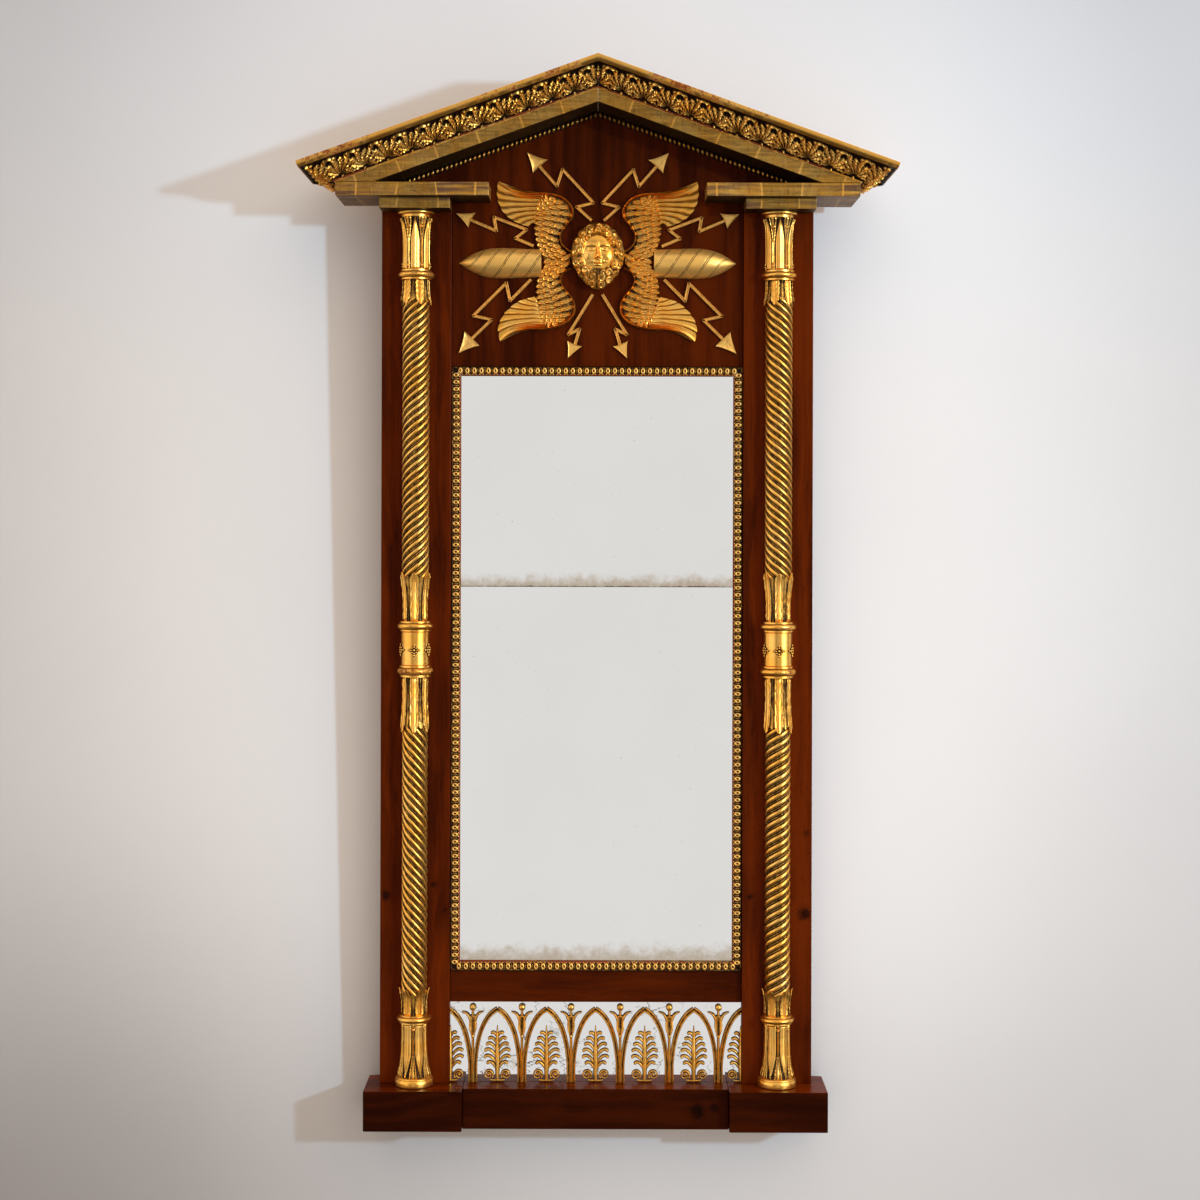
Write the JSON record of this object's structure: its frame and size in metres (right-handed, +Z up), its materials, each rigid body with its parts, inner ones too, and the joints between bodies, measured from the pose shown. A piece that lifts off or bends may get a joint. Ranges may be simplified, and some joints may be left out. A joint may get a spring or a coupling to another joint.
{
  "type": "pier mirror",
  "caption": "Wall-hung neoclassical pier mirror in mahogany with gilded pediment, twisted reeded columns, winged mask frieze, divided plate and low arcaded glass panel.",
  "frame": {"origin": "on the wall plane, on the middle line of the back, 915 mm over the underside, on the middle back rail", "axes": "+X to the viewer's right along the wall, +Y into the wall, +Z up; the mirror faces -Y"},
  "size_m": [1.014, 0.196, 1.832],
  "materials": {
    "mahogany": "polished mahogany veneer, warm red-brown, gently worn",
    "pine": "old unfinished softwood, darkened",
    "mirror_plate": "old silvered plate glass with slight foxing",
    "gilt_carving": "carved wood, water-gilded over bole, patina in the recesses",
    "gilt_flat": "flat gilded wood, rubbed, with leaf laps and hairline cracks"
  },
  "bodies": {
    "root": {"arcade": "gilt_carving", "arrow_bottom_left": "gilt_flat", "arrow_bottom_right": "gilt_flat", "arrow_lower_left": "gilt_flat", "arrow_lower_right": "gilt_flat", "arrow_top_left": "gilt_flat", "arrow_top_right": "gilt_flat", "arrow_upper_left": "gilt_flat", "arrow_upper_right": "gilt_flat", "backboard_lower": "pine", "backboard_upper": "pine", "beaded_frame_bottom": "gilt_carving", "beaded_frame_left": "gilt_carving", "beaded_frame_right": "gilt_carving", "beaded_frame_top": "gilt_carving", "bottom_rail": "pine", "capital_block_left": "gilt_flat", "capital_block_right": "gilt_flat", "capital_left": "gilt_carving", "capital_right": "gilt_carving", "column_base_left": "gilt_carving", "column_base_right": "gilt_carving", "crown_moulding_left": "gilt_carving", "crown_moulding_right": "gilt_carving", "entablature_block_left": "gilt_flat", "entablature_block_right": "gilt_flat", "frieze_panel": "mahogany", "hanging_rail": "pine", "lower_rail": "mahogany", "lower_shaft_left": "gilt_carving", "lower_shaft_right": "gilt_carving", "mask": "gilt_carving", "middle_drum_left": "gilt_carving", "middle_drum_right": "gilt_carving", "middle_rail": "pine", "mirror_plate_lower": "mirror_plate", "mirror_plate_upper": "mirror_plate", "palmette_centre": "gilt_carving", "palmette_centre_left": "gilt_carving", "palmette_centre_right": "gilt_carving", "palmette_far_left": "gilt_carving", "palmette_far_right": "gilt_carving", "palmette_left": "gilt_carving", "palmette_right": "gilt_carving", "panel_glass": "mirror_plate", "plinth_block_left": "mahogany", "plinth_block_right": "mahogany", "plinth_board": "mahogany", "raking_fascia_left": "gilt_flat", "raking_fascia_right": "gilt_flat", "rope_moulding_left": "gilt_carving", "rope_moulding_right": "gilt_carving", "spindle_left": "gilt_carving", "spindle_right": "gilt_carving", "stile_left": "mahogany", "stile_right": "mahogany", "upper_shaft_left": "gilt_carving", "upper_shaft_right": "gilt_carving", "wing_left": "gilt_carving", "wing_right": "gilt_carving"}
  },
  "joints": []
}
